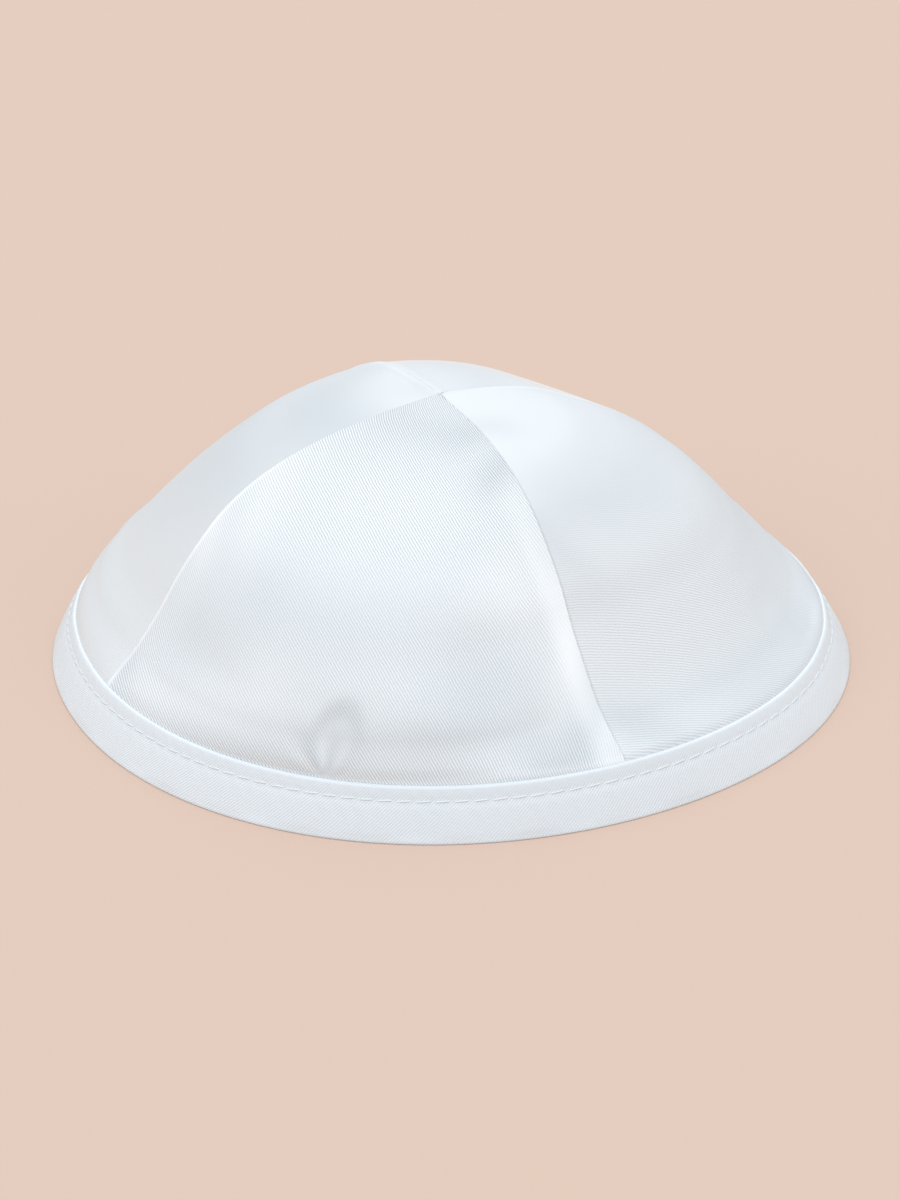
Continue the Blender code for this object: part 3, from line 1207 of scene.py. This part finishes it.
    def marks(self, azimuth: Array, depth: Array, height: Array) -> Marks:
        """The strip's marks: a highlight painted on its top edge and sheen painted on its sides,
        painted shade on the hem and in the groove under the stitches, and the hem's weave
        plainer.
        """
        outer = depth < 1.2 * MM
        off = height - self.crown.fold.height
        band = ease((off + self.hem) / (0.5 * MM)) * outer
        edge = ease((off + 0.45 * MM) / (0.3 * MM)) * outer
        groove = bell(off + self.stitch_drop + 0.45 * MM, 0.4 * MM) * outer
        side = np.cos(azimuth) ** 2 * outer
        # painted highlight on the top edge and painted sheen on the sides, painted shade on the
        # hem and the groove, less a constant
        painted_light = 0.12 * edge - 0.08 * band - 0.14 * groove + 0.26 * side - 0.11
        return {"painted_light": painted_light, "plain": 0.5 * band}

    def stitch_row(self, side: Side) -> bpy.types.Object:
        """The thread of the stitched line, one short arched tube a stitch.

        A stitch's middle line runs level along the groove for most of the stitch pitch, rises
        as a flat arch and dives at both ends. Round it the tube is a ring of six points.

        Args:
            side: Which face of the binding.

        Returns:
            The piece with all the stitches of that face.
        """
        pitch = TURN / self.stitch_count
        t = np.linspace(-1, 1, 9)
        azimuth = ((np.arange(self.stitch_count) + 0.5) * pitch)[:, None] + t * pitch * 0.42
        arch = self.thread_rise * (1 - t**4) - self.thread_dive
        outside = side is Side.OUTSIDE
        pull = self.relief(azimuth, np.full_like(azimuth, self.line)) if outside else 0.0
        ring = np.linspace(0, TURN, 6, endpoint=False)
        lift = side.value * (pull + arch + 0 * azimuth)[..., None] + self.thread * np.cos(ring)
        tilt = (self.line + self.thread_tilt * t)[None, :, None]
        height = tilt + self.thread * np.sin(ring) + 0 * lift
        depth = np.full_like(lift, 0.0 if outside else self.whole)
        points = self.surface(azimuth[..., None] + 0 * lift, depth, height, lift)
        number = np.arange(lift.size).reshape(lift.shape)
        tubes = cells(np.concatenate([number, number[..., :1]], axis=2)).tolist()
        caps = number[:, 0, ::-1].tolist() + number[:, -1, :].tolist()
        mesh = bpy.data.meshes.new("stitches_" + side.name.lower())
        mesh.from_pydata(points.reshape(-1, 3).tolist(), [], tubes + caps)
        body = bmesh.new()
        body.from_mesh(mesh)
        bmesh.ops.recalc_face_normals(body, faces=body.faces)
        body.to_mesh(mesh)
        body.free()
        mesh.shade_smooth()
        return make_piece(mesh, Thread().material())


@dataclass(frozen=True)
class Thread:
    """White polyester sewing thread, a little brighter than the cloth, with a twist."""

    colour: tuple[float, float, float] = (0.69, 0.72, 0.75)
    roughness: float = 0.45

    def material(self) -> bpy.types.Material:
        """Build the finish: a plain white with a fine noise in the bump."""
        material, graph = Graph.begin("stitch thread")
        fuzz = graph.noise(graph.node("ShaderNodeTexCoord")["Object"], 4000.0)
        graph.surface(
            {
                "Base Color": (*self.colour, 1.0),
                "Roughness": self.roughness,
                "Normal": graph.bump(fuzz, 0.03 * MM, 0.5),
            }
        )
        return material


@dataclass(frozen=True)
class SoftLight:
    """A broad far light. share is what it adds to a level white surface, as a part of white."""

    name: str
    azimuth: float
    elevation: float
    share: float
    spread: float = radians(50.0)
    colour: tuple[float, float, float] = DAYLIGHT

    def build(self) -> None:
        """Put the light in the scene."""
        data = bpy.data.lights.new(self.name, "SUN")
        data.angle = self.spread
        data.energy = self.share * pi / sin(self.elevation)
        data.color = self.colour
        level = cos(self.elevation)
        across = level * cos(self.azimuth), level * sin(self.azimuth)
        towards = Vector((*across, sin(self.elevation)))
        lamp = add_object(self.name, data)
        lamp.matrix_world = towards.to_track_quat("Z", "Y").to_matrix().to_4x4()


@dataclass(frozen=True)
class Studio:
    """The surface that the cap rests on, the soft light and the camera."""

    distance: float = 0.70
    elevation: float = radians(28.0)
    roll: float = radians(1.79)
    focal_pixels: float = 3211.0
    frame_width: float = 900.0
    aim: tuple[float, float, float] = (0.0009, 0.0, 0.0108)
    floor_half: float = 4.0
    floor_colour: tuple[float, float, float] = (0.612, 0.455, 0.370)
    sky: tuple[float, float, float] = DAYLIGHT
    sky_strength: float = 0.82
    lights: tuple[SoftLight, ...] = (
        SoftLight("key", radians(-92), radians(68), 0.28),
        SoftLight("front left", radians(-145), radians(38), 0.08),
        SoftLight("front right", radians(-35), radians(35), 0.05),
        SoftLight("back", radians(90), radians(60), 0.11),
    )

    def camera(self) -> None:
        """Stand the camera at the photograph's angle, rolled a little, looking at the cap."""
        shift_x, shift_y = Crown().middle()
        centre = Vector((-shift_x, -shift_y, 0.0))
        away = Vector((0.0, -cos(self.elevation), sin(self.elevation))) * self.distance
        data = bpy.data.cameras.new("camera")
        data.sensor_fit = "HORIZONTAL"
        data.sensor_width = 36.0
        data.lens = self.focal_pixels / self.frame_width * data.sensor_width
        data.clip_start = 0.05
        data.clip_end = 50.0
        camera = add_object("camera", data)
        eye = centre + away
        look = (centre + Vector(self.aim) - eye).to_track_quat("-Z", "Y")
        turn = look.to_matrix().to_4x4() @ Matrix.Rotation(-self.roll, 4, "Z")
        camera.matrix_world = Matrix.Translation(eye) @ turn
        bpy.context.scene.camera = camera

    def floor(self) -> None:
        """A wide plain pale surface under the cap."""
        half = self.floor_half
        mesh = bpy.data.meshes.new("floor")
        corners = [(-half, -half), (half, -half), (half, half), (-half, half)]
        mesh.from_pydata([(x, y, -0.05 * MM) for x, y in corners], [], [(0, 1, 2, 3)])
        material = bpy.data.materials.new("pale floor")
        material.use_nodes = True
        shader = material.node_tree.nodes["Principled BSDF"]
        shader.inputs["Base Color"].default_value = (*self.floor_colour, 1.0)
        shader.inputs["Roughness"].default_value = 0.9
        shader.inputs["Specular IOR Level"].default_value = 0.1
        mesh.materials.append(material)
        floor = add_object("floor", mesh)

    def build(self) -> None:
        """Set the camera, the surface, the lights and an even sky."""
        self.camera()
        self.floor()
        for light in self.lights:
            light.build()
        world = bpy.data.worlds.new("even sky")
        world.use_nodes = True
        sky = world.node_tree.nodes["Background"]
        sky.inputs["Color"].default_value = (*self.sky, 1.0)
        sky.inputs["Strength"].default_value = self.sky_strength
        bpy.context.scene.world = world
        bpy.context.scene.view_settings.view_transform = "Standard"


def main() -> None:
    """Build the studio and the cap, and report each piece."""
    logging.basicConfig(level=logging.INFO, format="%(name)s: %(message)s")
    Studio().build()
    crown = Crown()
    panels = CrownPanels(crown, Satin("white satin"))
    for gore in GORES:
        panels.build(gore)
    tape = Satin(
        "white satin tape",
        light=(0.745, 0.785, 0.815),
        pitch=0.49 * MM,
        slant=radians(40.0),
        line_depth=0.4,
    )
    binding = RimBinding(crown, tape)
    binding.build()
    for side in Side:
        binding.stitch_row(side)


if __name__ == "__main__":
    main()
